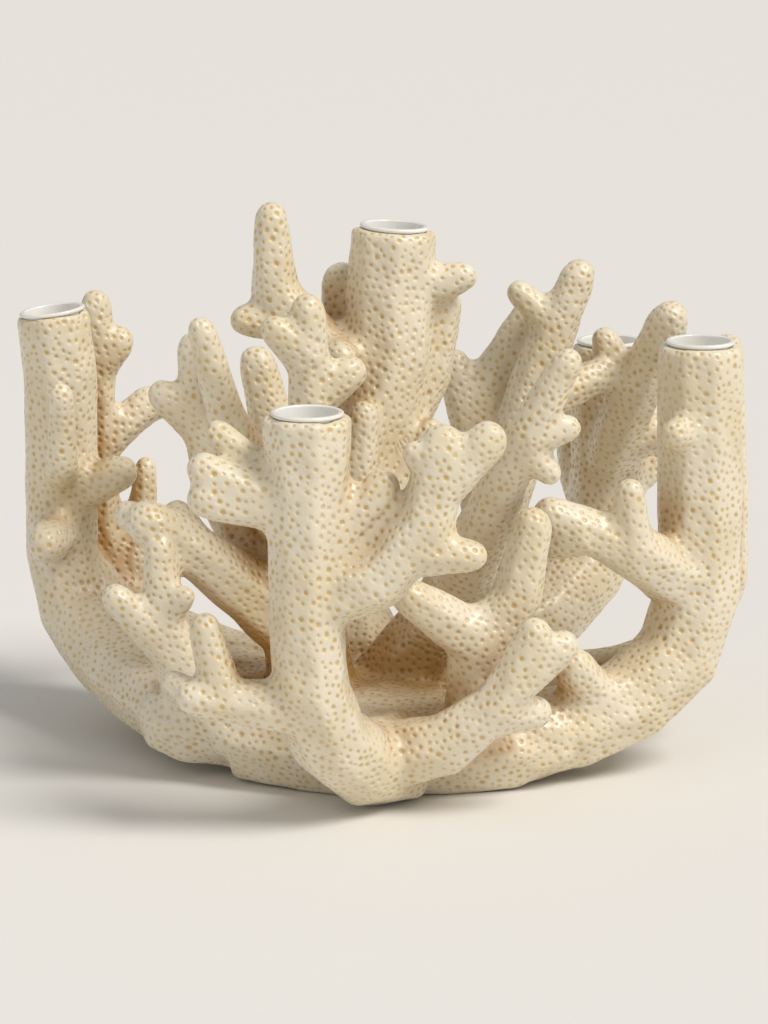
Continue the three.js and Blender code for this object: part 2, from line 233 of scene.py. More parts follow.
def cast_resin(finish):
    """Cast polyester resin, tinted in the mass and wiped with amber stain.

    The stain stays in the pores and, partly, in the creases, where shade is painted on too, and the
    open surface has a hand-rubbed satin gloss. Places closed in among the branches, their pores too,
    get painted shade in a darker amber.
    """
    material, tree = new_material("cast_resin_amber_stained")
    coords = add(tree, "ShaderNodeTexCoord").outputs["Object"]
    way = add(tree, "ShaderNodeAttribute", {"attribute_name": "pore_way"}).outputs["Vector"]
    size = add(tree, "ShaderNodeAttribute", {"attribute_name": "pore_size"}).outputs["Fac"]
    crease = add(tree, "ShaderNodeAttribute", {"attribute_name": "crease"}).outputs["Fac"]
    shelter = add(tree, "ShaderNodeAttribute", {"attribute_name": "shelter"}).outputs["Fac"]
    tone = add(tree, "ShaderNodeTexNoise", {"Scale": 38.0, "Detail": 3.0}, {"Vector": coords})
    grain = add(tree, "ShaderNodeTexNoise", {"Scale": 900.0, "Detail": 4.0}, {"Vector": coords})
    pitting = add(tree, "ShaderNodeTexNoise", {"Scale": 420.0, "Detail": 2.0}, {"Vector": coords})
    ragged = add(tree, "ShaderNodeMath", {"operation": "MULTIPLY_ADD", 1: 0.4, 2: -0.2},
                 {0: pitting.outputs["Fac"]}).outputs[0]
    length = add(tree, "ShaderNodeVectorMath", {"operation": "LENGTH"}, {0: way}).outputs["Value"]
    rim = add(tree, "ShaderNodeMath", {"operation": "ADD"}, {0: length, 1: ragged}).outputs[0]
    pore = ramp(tree, rim, (0.4, PORE_RIM), 1.0, 0.0)
    level = ramp(tree, rim, (0.35, PORE_RIM))
    cloudy = ramp(tree, tone.outputs["Fac"], (0.35, 0.68))
    open_skin = blend_colours(tree, cloudy, finish.resin_pale, finish.resin_warm)
    specks = ramp(tree, grain.outputs["Fac"], (0.56, 0.74), 0.0, 0.3)
    speckled = blend_colours(tree, specks, open_skin, finish.resin_speck)
    # Painted shade: the more closed in among the branches a place is, the more dark amber it takes.
    painted_shade_share = ramp(tree, shelter, (0.0, 1.0), 0.0, 0.94)
    with_painted_shade = blend_colours(tree, painted_shade_share, speckled, finish.painted_shade_in_hollows)
    # Crease colour: partly amber wash left in the forks, partly painted shade, by how deep the web is.
    crease_wash_and_shade_share = ramp(tree, crease, (0.1, 0.95), 0.0, 0.6)
    with_crease_wash_and_shade = blend_colours(tree, crease_wash_and_shade_share, with_painted_shade, finish.crease_wash_and_shade)
    # Painted shade on the pores: the pore stain darkens towards a deeper amber where the branches
    # close in.
    deep = blend_colours(
        tree, ramp(tree, shelter, (0.0, 0.9)), finish.stain_pore, finish.pore_stain_in_painted_shade)
    wiped = add(tree, "ShaderNodeTexNoise", {"Scale": 60.0, "Detail": 1.0}, {"Vector": coords})
    kept = ramp(tree, wiped.outputs["Fac"], (0.35, 0.62), 0.5, 1.0)
    fullness = ramp(tree, size, (0.3, 0.95), 0.6, 1.0)
    strength = add(
        tree, "ShaderNodeMath", {"operation": "MULTIPLY"}, {0: fullness, 1: kept}).outputs[0]
    stain = add(
        tree, "ShaderNodeMath", {"operation": "MULTIPLY"}, {0: pore, 1: strength}).outputs[0]
    colour = blend_colours(tree, stain, with_crease_wash_and_shade, deep)
    rough = ramp(tree, pitting.outputs["Fac"], (0.3, 0.7), 0.26, 0.46)
    recess = add(tree, "ShaderNodeBump", {"Strength": 0.5, "Distance": 0.4 * MM},
                 {"Height": level})
    bump = add(tree, "ShaderNodeBump", {"Strength": 0.55, "Distance": 0.3 * MM},
               {"Height": pitting.outputs["Fac"], "Normal": recess.outputs["Normal"]})
    fine = add(tree, "ShaderNodeBump", {"Strength": 0.2, "Distance": 0.1 * MM},
               {"Height": grain.outputs["Fac"], "Normal": bump.outputs["Normal"]})
    shader = add(tree, "ShaderNodeBsdfPrincipled", {
        "IOR": 1.54, "Metallic": 0.0, "Coat Weight": 0.12, "Coat Roughness": 0.25,
    }, {"Base Color": colour, "Roughness": rough, "Normal": fine.outputs["Normal"]})
    add(tree, "ShaderNodeOutputMaterial", {}, {"Surface": shader.outputs["BSDF"]})
    return material


def stove_enamel(finish):
    """Thin pressed steel under white stove enamel, which gives a soft orange-peel gloss."""
    material, tree = new_material("stove_enamel_white")
    coords = add(tree, "ShaderNodeTexCoord").outputs["Object"]
    peel = add(tree, "ShaderNodeTexNoise", {"Scale": 450.0, "Detail": 2.0}, {"Vector": coords})
    tint = add(tree, "ShaderNodeTexNoise", {"Scale": 70.0, "Detail": 2.0}, {"Vector": coords})
    cloudy = ramp(tree, tint.outputs["Fac"], (0.3, 0.7))
    colour = blend_colours(tree, cloudy, finish.enamel_white, finish.enamel_cream)
    bump = add(tree, "ShaderNodeBump", {"Strength": 0.15, "Distance": 0.1 * MM},
               {"Height": peel.outputs["Fac"]})
    shader = add(tree, "ShaderNodeBsdfPrincipled", {
        "IOR": 1.5, "Roughness": 0.22, "Coat Weight": 0.4, "Coat Roughness": 0.08,
    }, {"Base Color": colour, "Normal": bump.outputs["Normal"]})
    add(tree, "ShaderNodeOutputMaterial", {}, {"Surface": shader.outputs["BSDF"]})
    return material


def matt_paper(finish):
    """Seamless studio paper, which gives an even pale ground with no gloss."""
    material, tree = new_material("matt_studio_paper")
    shader = add(tree, "ShaderNodeBsdfPrincipled", {
        "Base Color": linear(finish.paper), "Roughness": 0.9, "Specular IOR Level": 0.1})
    add(tree, "ShaderNodeOutputMaterial", {}, {"Surface": shader.outputs["BSDF"]})
    return material


# ---- the coral's field ----

def node_mesh(name):
    """A CAD node's corners with doubles merged, in metres, and its triangles."""
    mesh = frame["nodes"][name].data
    mesh.calc_loop_triangles()
    corners = np.empty(len(mesh.vertices) * 3)
    mesh.vertices.foreach_get("co", corners)
    faces = np.empty(len(mesh.loop_triangles) * 3, dtype=np.int32)
    mesh.loop_triangles.foreach_get("vertices", faces)
    rounded = np.round(corners.reshape(-1, 3), 6)
    merged, index = np.unique(rounded, axis=0, return_inverse=True)
    return merged, index.reshape(-1)[faces].reshape(-1, 3)


def blur(field, sigma):
    """A Gaussian blur: along each axis, a sum of shifted copies with bell-curve weights."""
    reach = int(math.ceil(2.5 * sigma))
    weights = np.exp(-0.5 * (np.arange(-reach, reach + 1) / sigma) ** 2)
    weights = (weights / weights.sum()).astype(np.float32)
    for axis in range(3):
        padding = [(reach, reach) if a == axis else (0, 0) for a in range(3)]
        padded = np.pad(field, padding, mode="edge")
        total = np.zeros_like(field)
        window = [slice(None)] * 3
        for i, weight in enumerate(weights):
            window[axis] = slice(i, i + field.shape[axis])
            total += weight * padded[tuple(window)]
        field = total
    return field


def slow_lumps(grids, size):
    """A sum of three sine products of unlike wavelengths, about size long, from -1 to 1."""
    x, y, z = (g * (2 * math.pi / size) for g in grids)
    first = np.sin(x + 1.3) * np.sin(0.8 * y + 0.4) * np.sin(0.9 * z + 2.0)
    second = np.sin(1.7 * x + 0.6 * z) * np.sin(1.5 * y - 0.7 * z + 1.0)
    third = np.sin(2.3 * z + 0.9 * x + 0.3) * np.sin(2.1 * y + 1.1 * x)
    return (0.5 * first + 0.3 * second + 0.2 * third).astype(np.float32)


class Field:
    """A box grid of signed distances to the coral in metres, below zero inside."""

    def __init__(self, cell, margin):
        low, high = (np.array(c) for c in CAD_BOX)
        self.cell = cell
        self.low = low - margin
        self.shape = np.ceil((high + margin - self.low) / cell).astype(int) + 1
        self.margin = margin

    def grids(self):
        """The three coordinates of the cells as arrays that broadcast to the grid."""
        axes = [self.low[a] + self.cell * np.arange(self.shape[a]) for a in range(3)]
        return np.meshgrid(*[a.astype(np.float32) for a in axes], indexing="ij", sparse=True)

    def distance(self, name):
        """The distances to one CAD node in a window round it, and that window."""
        corners, faces = node_mesh(name)
        places = ((corners - self.low) / self.cell).astype(np.float32)
        reach = self.margin / self.cell
        level = openvdb.FloatGrid.createLevelSetFromPolygons(
            places, triangles=faces.astype(np.uint32),
            transform=openvdb.createLinearTransform(1.0), halfWidth=reach)
        first = np.maximum(np.floor(places.min(0) - reach - 1).astype(int), 0)
        last = np.minimum(np.ceil(places.max(0) + reach + 1).astype(int), self.shape)
        window = tuple(slice(a, b) for a, b in zip(first, last))
        values = np.empty(last - first, np.float32)
        level.copyToArray(values, ijk=tuple(int(i) for i in first))
        return values * self.cell, window

    def sample(self, values, points):
        """Trilinear reading of a grid at points: eight corner cells weighted by nearness."""
        place = (points - self.low) / self.cell
        base = np.clip(np.floor(place).astype(int), 0, self.shape - 2)
        part = place - base
        base = np.minimum(base, np.array(values.shape) - 2)
        total = np.zeros(len(points))
        for corner in np.ndindex(2, 2, 2):
            step = np.array(corner)
            weight = np.prod(np.where(step, part, 1 - part), axis=1)
            index = base + step
            total += weight * values[index[:, 0], index[:, 1], index[:, 2]]
        return total

    def nearest(self, values, points):
        """The grid's value at the cell nearest to each point."""
        index = np.clip(np.rint((points - self.low) / self.cell).astype(int), 0, self.shape - 1)
        return values[index[:, 0], index[:, 1], index[:, 2]]


def cup_distance(grids, seat, radius, low, high):
    """Distance to an upright or leaning cylinder: the larger of how far out and how far along."""
    x, y, z = (g - p for g, p in zip(grids, seat["pos_m"]))
    axis = seat["axis"]
    along = x * axis[0] + y * axis[1] + z * axis[2]
    out = np.sqrt(np.maximum(x * x + y * y + z * z - along * along, 0.0))
    return np.maximum(out - radius, np.maximum(low - along, along - high))


def coral_field(settings, cups):
    """The casting's field, the nearest node's number in each cell, the crease and shelter grids.

    The nodes' distances are joined by their minimum, with the cup bores filled. A light blur
    rounds the edges. A wide blur gives less distance only in hollows, so the smaller of the two
    fills each fork with a web and leaves the rest alone. The bores are cut again at the end.
    Shelter is the share of solid in a wide bell round a place, on every fourth cell. Crease and
    shelter set where the shader paints shade.
    """
    field = Field(settings.cell, MARGIN)
    joined = np.full(field.shape, field.margin, np.float32)
    owner = np.zeros(field.shape, np.uint8)
    for number, name in enumerate(CORAL_NODES):
        values, window = field.distance(name)
        closer = values < joined[window]
        joined[window][closer] = values[closer]
        owner[window][closer] = number
    grids = field.grids()
    top = cups.depth - cups.lip_height - cups.wall
    for seat in SEATS:
        plug = cup_distance(grids, seat, cups.bore / 2 + 1.6 * MM, -3 * MM, top)
        np.minimum(joined, plug, out=joined)
    light = blur(joined, settings.soften / settings.cell)
    wide = blur(joined, settings.web / settings.cell)
    crease = np.clip((light - wide) / FULL_CREASE, 0.0, 1.0)
    skin = np.minimum(light, wide)
    skin += settings.swell * slow_lumps(grids, 34 * MM)
    skin -= SHRINK
    for seat in SEATS:
        room = cup_distance(grids, seat, cups.bore / 2 + cups.wall + 0.2 * MM,
                            -cups.wall - 0.3 * MM, ABOVE_CUP)
        above = cup_distance(grids, seat, LIP_ROOM_RADIUS, top - 0.1 * MM, LIP_ROOM_HEIGHT)
        np.maximum(skin, -room, out=skin)
        np.maximum(skin, -above, out=skin)
    np.maximum(skin, -grids[2], out=skin)
    coarse = (skin[::COARSE, ::COARSE, ::COARSE] < 0).astype(np.float32)
    shelter = blur(coarse, SHELTER_REACH / (COARSE * settings.cell))
    return field, skin, owner, crease, shelter


def skin_mesh(field, skin):
    """The surface where the field is zero, as corners and triangles that face outwards."""
    limit = 3 * field.cell
    level = openvdb.FloatGrid(limit / field.cell)
    level.copyFromArray(np.clip(skin, -limit, limit) / field.cell)
    corners, triangles, quads = level.convertToPolygons(0.0, 0.0)
    points = corners * field.cell + field.low
    faces = np.concatenate([quads[:, [0, 1, 2]], quads[:, [0, 2, 3]], triangles])
    faces = faces.astype(np.int64)
    a, b, c = (points[faces[:, i]] for i in range(3))
    volume = np.einsum("ij,ij->i", a, np.cross(b, c)).sum()
    if volume < 0:
        faces = faces[:, ::-1]
    return points, faces


def corner_normals(points, faces):
    """Each corner's normal: the sum of its faces' normals, weighted by area."""
    a, b, c = (points[faces[:, i]] for i in range(3))
    face_normals = np.cross(b - a, c - a)
    total = np.stack([
        np.bincount(faces.ravel(), np.repeat(face_normals[:, k], 3), len(points))
        for k in range(3)], axis=1)
    length = np.linalg.norm(total, axis=1, keepdims=True)
    return total / np.maximum(length, 1e-12)


def largest_shells(points, faces):
    """Drops crumbs: corners take the smallest number of their neighbours until none changes."""
    label = np.arange(len(points))
    while True:
        low = label[faces].min(axis=1)
        new = label.copy()
        for k in range(3):
            np.minimum.at(new, faces[:, k], low)
        new = new[new]
        if np.array_equal(new, label):
            break
        label = new
    counts = np.bincount(label[faces[:, 0]], minlength=len(points))
    faces = faces[counts[label[faces[:, 0]]] > CRUMB_FACES]
    used = np.unique(faces)
    index = np.full(len(points), -1)
    index[used] = np.arange(len(used))
    return points[used], index[faces]


# ---- pores ----

def cell_keys(points, size):
    """One whole number for the cube of the given size that holds each point."""
    cube = np.floor(points / size).astype(np.int64) + 4096
    return (cube[:, 0] << 40) | (cube[:, 1] << 20) | cube[:, 2]


NEIGHBOURS = [(i << 40) + (j << 20) + k for i in (-1, 0, 1) for j in (-1, 0, 1) for k in (-1, 0, 1)]


def near_pairs(points, others, reach):
    """Pairs (point, other) no farther apart than reach, found through cubes of that size."""
    keys = cell_keys(others, reach)
    order = np.argsort(keys, kind="stable")
    keys = keys[order]
    own = cell_keys(points, reach)
    for offset in NEIGHBOURS:
        first = np.searchsorted(keys, own + offset, side="left")
        last = np.searchsorted(keys, own + offset, side="right")
        for k in range(int((last - first).max(initial=0))):
            mine = np.nonzero(first + k < last)[0]
            yield mine, order[first[mine] + k]


def scatter(points, normals, settings):
    """Pore middles and radii: candidates in random order, each kept if no kept one is too near.

    It is done in rounds of whole arrays: in each round a candidate wins if its random rank is
    the lowest within the spacing, and candidates near a winner leave.
    """
    rng = np.random.default_rng(settings.seed)
    pool = rng.choice(len(points), size=min(len(points), CANDIDATES), replace=False)
    pool = pool[points[pool, 2] > BARE_FOOT]
    middles = points[pool] + rng.normal(0, 0.2 * MM, (len(pool), 3))
    size = rng.beta(1.5, 2.5, len(pool))
    radius = settings.pore_small + (settings.pore_large - settings.pore_small) * size
    spacing = 2 * radius + settings.pore_gap
    rank = rng.random(len(pool))
    reach = 2 * settings.pore_large + settings.pore_gap
    alive = np.ones(len(pool), bool)
    kept = np.zeros(len(pool), bool)
    for _ in range(SCATTER_ROUNDS):
        live = np.nonzero(alive)[0]
        if len(live) == 0:
            break
        best = np.ones(len(live), bool)
        pairs = []
        for mine, other in near_pairs(middles[live], middles[live], reach):
            gap = np.linalg.norm(middles[live[mine]] - middles[live[other]], axis=1)
            close = (gap < 0.5 * (spacing[live[mine]] + spacing[live[other]])) & (mine != other)
            pairs.append((mine[close], other[close]))
        for mine, other in pairs:
            best[mine[rank[live[mine]] > rank[live[other]]]] = False
        kept[live[best]] = True
        gone = best.copy()
        for mine, other in pairs:
            gone[mine[best[other]]] = True
        alive[live[gone]] = False
    return middles[kept], radius[kept], normals[pool][kept], rng


def limb_directions(middles, points, normals):
    """The way a limb runs at each pore: the direction that the normals round it lean in least."""
    size = 14 * MM
    cube = cell_keys(points, size)
    names, index = np.unique(cube, return_inverse=True)
    index = index.reshape(-1)
    spread = np.empty((len(names), 3, 3))
    for i in range(3):
        for j in range(3):
            spread[:, i, j] = np.bincount(index, normals[:, i] * normals[:, j], len(names))
    _, vectors = np.linalg.eigh(spread)
    mine = cell_keys(middles, size)
    place = np.clip(np.searchsorted(names, mine), 0, len(names) - 1)
    return vectors[place][:, :, 0]


def pore_way(pores, points, which):
    """The flat offset from a pore's middle to a point, in radii, widened across the limb."""
    offset = points - pores["middle"][which]
    facing = pores["facing"][which]
    across = pores["across"][which]
    flat = offset - facing * np.einsum("ij,ij->i", offset, facing)[:, None]
    side = np.einsum("ij,ij->i", flat, across) * pores["narrow"][which]
    return (flat + across * side[:, None]) / pores["radius"][which][:, None]


def face_pores(points, faces, near, nearest, pores):
    """The way from the middle and the size of the one pore that owns each face, corner by corner.

    The corner that is deepest in its pore gives the face its owner. The way is then straight
    across the face, so the shader draws a true round rim. A face with no pore has a long way.
    """
    deepest = near[faces].argmin(axis=1)
    owner = nearest[faces[np.arange(len(faces)), deepest]]
    bare = (owner < 0) | (near[faces].min(axis=1) > 2.0)
    owner = np.repeat(np.where(bare, 0, owner), 3)
    way = pore_way(pores, points[faces.ravel()], owner)
    size = pores["size"][owner]
    bare = np.repeat(bare, 3)
    way[bare] = NO_PORE
    size[bare] = 0.0
    return way, size


def pore_depths(points, normals, settings):
    """How deep each corner sinks, the number of its nearest pore, and how near that is in radii.

    A pore is an oval, narrower across its limb than along it. A corner sinks by the smooth step
    3t^2 - 2t^3 from the rim to the middle.
    """
    middles, radius, facing, rng = scatter(points, normals, settings)
    limb = limb_directions(middles, points, normals)
    across = np.cross(facing, limb)
    across /= np.maximum(np.linalg.norm(across, axis=1, keepdims=True), 1e-9)
    pores = {
        "middle": middles, "radius": radius, "facing": facing, "across": across,
        "narrow": 0.35 * rng.random(len(middles)) ** 2,
        "size": (np.minimum(radius / settings.pore_large, 1.0)
                 * (0.75 + 0.5 * rng.random(len(middles)))),
    }
    near = np.full(len(points), NO_PORE)
    nearest = np.full(len(points), -1)
    reach = settings.pore_large * 1.9
    for mine, pore in near_pairs(points, middles, reach):
        height = np.einsum("ij,ij->i", points[mine] - middles[pore], facing[pore])
        same_side = np.einsum("ij,ij->i", normals[mine], facing[pore]) > 0.3
        length = np.linalg.norm(pore_way(pores, points[mine], pore), axis=1)
        closer = (length < near[mine]) & same_side & (np.abs(height) < 1.3 * MM)
        near[mine[closer]] = length[closer]
        nearest[mine[closer]] = pore[closer]
    step = np.clip(PORE_RIM - near, 0.0, 1.0)
    sink = np.where(nearest < 0, 0.0, pores["size"][nearest]) * step * step * (3 - 2 * step)
    return sink, near, nearest, pores


# ---- meshes ----

def make_object(name, points, faces, normals, attributes, material, smooth=True):
    """A mesh object at the origin with its own corner attributes and corner normals."""
    mesh = bpy.data.meshes.new(name)
    mesh.vertices.add(len(points))
    mesh.vertices.foreach_set("co", points.astype(np.float32).ravel())
    mesh.loops.add(faces.size)
    mesh.loops.foreach_set("vertex_index", faces.astype(np.int32).ravel())
    mesh.polygons.add(len(faces))
    mesh.polygons.foreach_set("loop_start", np.arange(len(faces), dtype=np.int32) * faces.shape[1])
    mesh.update(calc_edges=True)
    for key, values in attributes.items():
        vector = values.ndim == 2
        domain = "POINT" if len(values) == len(points) else "CORNER"
        layer = mesh.attributes.new(key, "FLOAT_VECTOR" if vector else "FLOAT", domain)
        layer.data.foreach_set("vector" if vector else "value", values.astype(np.float32).ravel())
    mesh.polygons.foreach_set("use_smooth", np.full(len(faces), smooth))
    mesh.materials.append(material)
    if mesh.validate():
        raise RuntimeError(name + " has faults in its mesh")
    if normals is not None:
        mesh.normals_split_custom_set(normals)
    piece = bpy.data.objects.new(name, mesh)
    bpy.context.scene.collection.objects.link(piece)
    return piece


def along_chain(link, combine, total):
    """Pointer doubling: each place takes in the total of the place it links to, then links past it."""
    for _ in range(len(link).bit_length()):
        total = combine(total, total[link])
        link = link[link]
    return total


def sink_into_resin(field, skin, places):
    """Moves places to CAP_DEPTH or more under the skin.

    The field gives how far each place is from that depth, and it moves so far down the slope.
    """
    for _ in range(8):
        lack = np.maximum(field.sample(skin, places) + CAP_DEPTH, 0.0)
        slope = np.stack([
            field.sample(skin, places + step) - field.sample(skin, places - step)
            for step in np.eye(3) * field.cell], axis=1)
        slope /= np.maximum(np.linalg.norm(slope, axis=1, keepdims=True), 1e-9)
        places = places - slope * lack[:, None]
    return places


def open_rims(points, faces):
    """The edges with a face on one side only, chained into rings.

    Each ring starts at its point farthest from its middle. The result is the first point of each
    edge in that order, its place in its ring, and the ring's length.
    """
    edges = np.concatenate([faces[:, [0, 1]], faces[:, [1, 2]], faces[:, [2, 0]]])
    key = edges[:, 0].astype(np.int64) * len(points) + edges[:, 1]
    back = edges[:, 1].astype(np.int64) * len(points) + edges[:, 0]
    rim = edges[~np.isin(key, back)]
    count = len(rim)
    after = np.empty(count, int)
    after[np.argsort(rim[:, 1], kind="stable")] = np.argsort(rim[:, 0], kind="stable")
    ring = along_chain(after, np.minimum, np.arange(count))
    ring = np.unique(ring, return_inverse=True)[1].reshape(-1)
    length = np.bincount(ring)
    start = points[rim[:, 0]]
    middle = np.stack([np.bincount(ring, start[:, k]) / length for k in range(3)], axis=1)
    far = np.linalg.norm(start - middle[ring], axis=1)
    first = np.lexsort((-far, ring))[np.cumsum(length) - length]
    last = np.isin(after, first)
    link = np.where(last, np.arange(count), after)
    steps = along_chain(link, np.add, np.where(last, 0, 1))
    place = length[ring] - 1 - steps
    order = np.lexsort((place, ring))
    return rim[order, 0], place[order], length[ring[order]]


def seam_caps(points, faces, field, skin):
    """Closes each open rim, and gives the new points and faces.

    Points k and n - k of a ring of n stand opposite each other. They share one new point, halfway
    between them and then sunk into the resin, and each side of the ring is joined to that line.
    """
    rim, place, size = open_rims(points, faces)
    base = np.arange(len(rim)) - place
    opposite = rim[base + (size - place) % size]
    fresh = (place > 0) & (2 * place < size)
    number = np.where(fresh, len(points) + np.cumsum(fresh) - 1, rim)
    places = sink_into_resin(field, skin, 0.5 * (points[rim[fresh]] + points[opposite[fresh]]))
    after = (place + 1) % size
    here = number[base + np.minimum(place, (size - place) % size)]
    there = number[base + np.minimum(after, (size - after) % size)]
    beside = rim[base + after]
    caps = np.concatenate([
        np.stack([beside, rim, here], axis=1), np.stack([beside, here, there], axis=1)])
    flat = (caps[:, 0] == caps[:, 1]) | (caps[:, 1] == caps[:, 2]) | (caps[:, 2] == caps[:, 0])
    return places, caps[~flat]


def smooth_owners(owner, faces):
    """Evens out the seams: in each round a face takes the owner most common round its corners."""
    count = int(faces.max()) + 1
    kinds = len(CORAL_NODES)
    for _ in range(6):
        votes = np.zeros((count, kinds), np.float32)
        for k in range(3):
            np.add.at(votes, (faces[:, k], owner), 1.0)
        total = votes[faces[:, 0]] + votes[faces[:, 1]] + votes[faces[:, 2]]
        owner = total.argmax(axis=1)
    return trim_ears(owner, faces)


def trim_ears(owner, faces):
    """Gives a face to the owner that two of its three neighbours share, until none changes.

    Odd and even faces take turns, so that two neighbours never swap for ever.
    """
    count = len(faces)
    edges = np.concatenate([faces[:, [0, 1]], faces[:, [1, 2]], faces[:, [2, 0]]])
    order = np.lexsort((edges.max(axis=1), edges.min(axis=1)))
    beside = np.empty(3 * count, int)
    beside[order[0::2]] = order[1::2] % count
    beside[order[1::2]] = order[0::2] % count
    beside = beside.reshape(3, count)
    still = 0
    turn = 0
    while still < 2 and turn < 60:
        mine = np.arange(count) % 2 == turn % 2
        first, second, third = owner[beside]
        agreed = np.where((first == second) | (first == third), first,
                          np.where(second == third, second, owner))
        change = mine & (agreed != owner)
        owner = np.where(change, agreed, owner)
        still = 0 if change.any() else still + 1
        turn += 1
    return owner


def near_a_cup(points, cups):
    """Whether each point is inside a cup's socket or just round its lip."""
    inside = np.zeros(len(points), bool)
    for seat in SEATS:
        offset = points - np.array(seat["pos_m"])
        along = offset @ np.array(seat["axis"])
        out = np.sqrt(np.maximum((offset ** 2).sum(axis=1) - along ** 2, 0.0))
        inside |= (out < cups.lip / 2 + 0.4 * MM) & (along > -2 * MM) & (along < 25 * MM)
    return inside


def build_coral(settings, cups, finish):
    """The casting's skins: the field's surface, sunk at the pores and split among the branches."""
    field, skin, owners, crease, shelter = coral_field(settings, cups)
    points, faces = skin_mesh(field, skin)
    points, faces = largest_shells(points, faces)
    normals = corner_normals(points, faces)
    points[:, 2] = np.maximum(points[:, 2], 0.0)
    sink, near, nearest, pores = pore_depths(points, normals, settings)
    grounded = np.clip((points[:, 2] - 1.5 * MM) / (2 * MM), 0.0, 1.0)
    free = np.where(near_a_cup(points, cups), 0.0, grounded)
    near = np.where(free > 0.5, near, NO_PORE)
    way, size = face_pores(points, faces, near, nearest, pores)
    points = points - normals * (settings.pore_depth * sink * free)[:, None]
    normals = corner_normals(points, faces)
    # Crease depth and shelter become attributes that set the painted shade in the shader.
    creases = field.sample(crease, points)
    coarse = Field(COARSE * settings.cell, MARGIN)
    outward = points + normals * SHELTER_REACH
    sheltered = np.clip((coarse.sample(shelter, outward) - 0.1) / 0.3, 0.0, 1.0)
    inner = points[faces].mean(axis=1) - normals[faces[:, 0]] * BACKING
    owner = smooth_owners(field.nearest(owners, inner).astype(int), faces)
    material = cast_resin(finish)
    for number, name in enumerate(CORAL_NODES):
        mine = np.nonzero(owner == number)[0]
        if len(mine) == 0:
            raise RuntimeError("no skin belongs to " + name)
        used, local = np.unique(faces[mine], return_inverse=True)
        local = local.reshape(-1, 3)
        sunk, caps = seam_caps(points[used], local, field, skin)
        places = np.concatenate([points[used], sunk])
        corners = (mine[:, None] * 3 + np.arange(3)).ravel()
        every = np.concatenate([local, caps])
        a, b, c = (places[caps[:, i]] for i in range(3))
        flat = np.cross(b - a, c - a)
        flat /= np.maximum(np.linalg.norm(flat, axis=1, keepdims=True), 1e-12)
        loops = np.concatenate([normals[used][local.ravel()], np.repeat(flat, 3, axis=0)])
        piece = make_object(name + "_skin", places, every, loops, {
            "pore_way": np.concatenate([way[corners], np.full((caps.size, 3), NO_PORE)]),
            "pore_size": np.concatenate([size[corners], np.zeros(caps.size)]),
            "crease": np.concatenate([creases[used], np.zeros(len(sunk))]),
            "shelter": np.concatenate([sheltered[used], np.ones(len(sunk))]),
        }, material)
        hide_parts(name)
        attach(piece, "root")


def lathe(name, profile, seat, material, sides=128):
    """A closed profile of (out, along) turned round the seat's axis.

    A corner is the seat's place, plus out times the ring's direction, plus along times the axis.
    """
    profile = np.array(profile)
    axis = np.array(seat["axis"])
    axis = axis / np.linalg.norm(axis)
    first = np.cross(axis, [0.0, 1.0, 0.0])
    first /= np.linalg.norm(first)
    second = np.cross(axis, first)
    turn = np.arange(sides) * (2 * math.pi / sides)
    ring = np.cos(turn)[:, None] * first + np.sin(turn)[:, None] * second
    body = profile[1:-1]
    points = (np.array(seat["pos_m"]) + body[None, :, :1] * ring[:, None, :]
              + body[None, :, 1:] * axis).reshape(-1, 3)
    ends = np.array(seat["pos_m"]) + profile[[0, -1], 1][:, None] * axis
    rows = len(body)
    i, j = np.meshgrid(np.arange(sides), np.arange(rows - 1), indexing="ij")
    here = i * rows + j
    beside = ((i + 1) % sides) * rows + j
    quads = np.stack([here, beside, beside + 1, here + 1], axis=-1).reshape(-1, 4)
    faces = np.concatenate([quads[:, [0, 1, 2]], quads[:, [0, 2, 3]]])
    side = np.arange(sides)
    low = np.stack([np.full(sides, len(points)), (side + 1) % sides * rows, side * rows], axis=1)
    high = np.stack([np.full(sides, len(points) + 1), side * rows + rows - 1,
                     (side + 1) % sides * rows + rows - 1], axis=1)
    faces = np.concatenate([faces, low, high])
    points = np.concatenate([points, ends])
    return make_object(name, points, faces, None, {}, material)


def arc(middle, radius, start, end, count):
    """Points of a round stretch, by cosine and sine, from one angle to another in degrees."""
    angles = np.radians(np.linspace(start, end, count))
    return [(middle[0] + radius * math.cos(t), middle[1] + radius * math.sin(t)) for t in angles]


def build_cups(cups, finish):
    """Pressed cups: a floor with round corners, a straight wall, and a lip rolled over outwards."""
    material = stove_enamel(finish)
    inner = cups.bore / 2
    outer = inner + cups.wall
    base = -cups.wall
    top = cups.depth - cups.wall
    roll = cups.lip_height / 2
    edge = cups.lip / 2 - roll
    corner = 0.6 * MM
    for seat in SEATS:
        profile = [(0.0, base)]
        profile += arc((outer - corner, base + corner), corner, -90, 0, 6)
        profile += [(outer, top - cups.lip_height - 0.2 * MM), (outer, top - cups.lip_height)]
        profile += arc((edge, top - roll), roll, -90, 90, 14)
        profile += arc((inner + 0.7 * MM, top - 0.7 * MM), 0.7 * MM, 90, 180, 8)
        profile += [(inner, top - 2 * MM), (inner, 1.2 * MM)]
        profile += arc((inner - 1.0 * MM, 1.0 * MM), 1.0 * MM, 0, -90, 6)
        profile += [(0.0, 0.0)]
        name = "cup_" + seat["name"][len("seat_"):]
        piece = lathe(name + "_enamel", profile, seat, material)
        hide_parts(name)
        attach(piece, "root")


def area_light(name, place, target, size, power, colour):
    """A round softbox at a place, turned to face a target."""
    data = bpy.data.lights.new(name, "AREA")
    data.shape = "DISK"
    data.size = size
    data.energy = power
    data.color = linear(colour)[:3]
    light = bpy.data.objects.new(name, data)
    light.location = place
    way = np.array(target) - np.array(place)
    flat = math.hypot(way[0], way[1])
    light.rotation_euler = (math.atan2(flat, -way[2]), 0.0, math.atan2(-way[0], way[1]))
    bpy.context.scene.collection.objects.link(light)


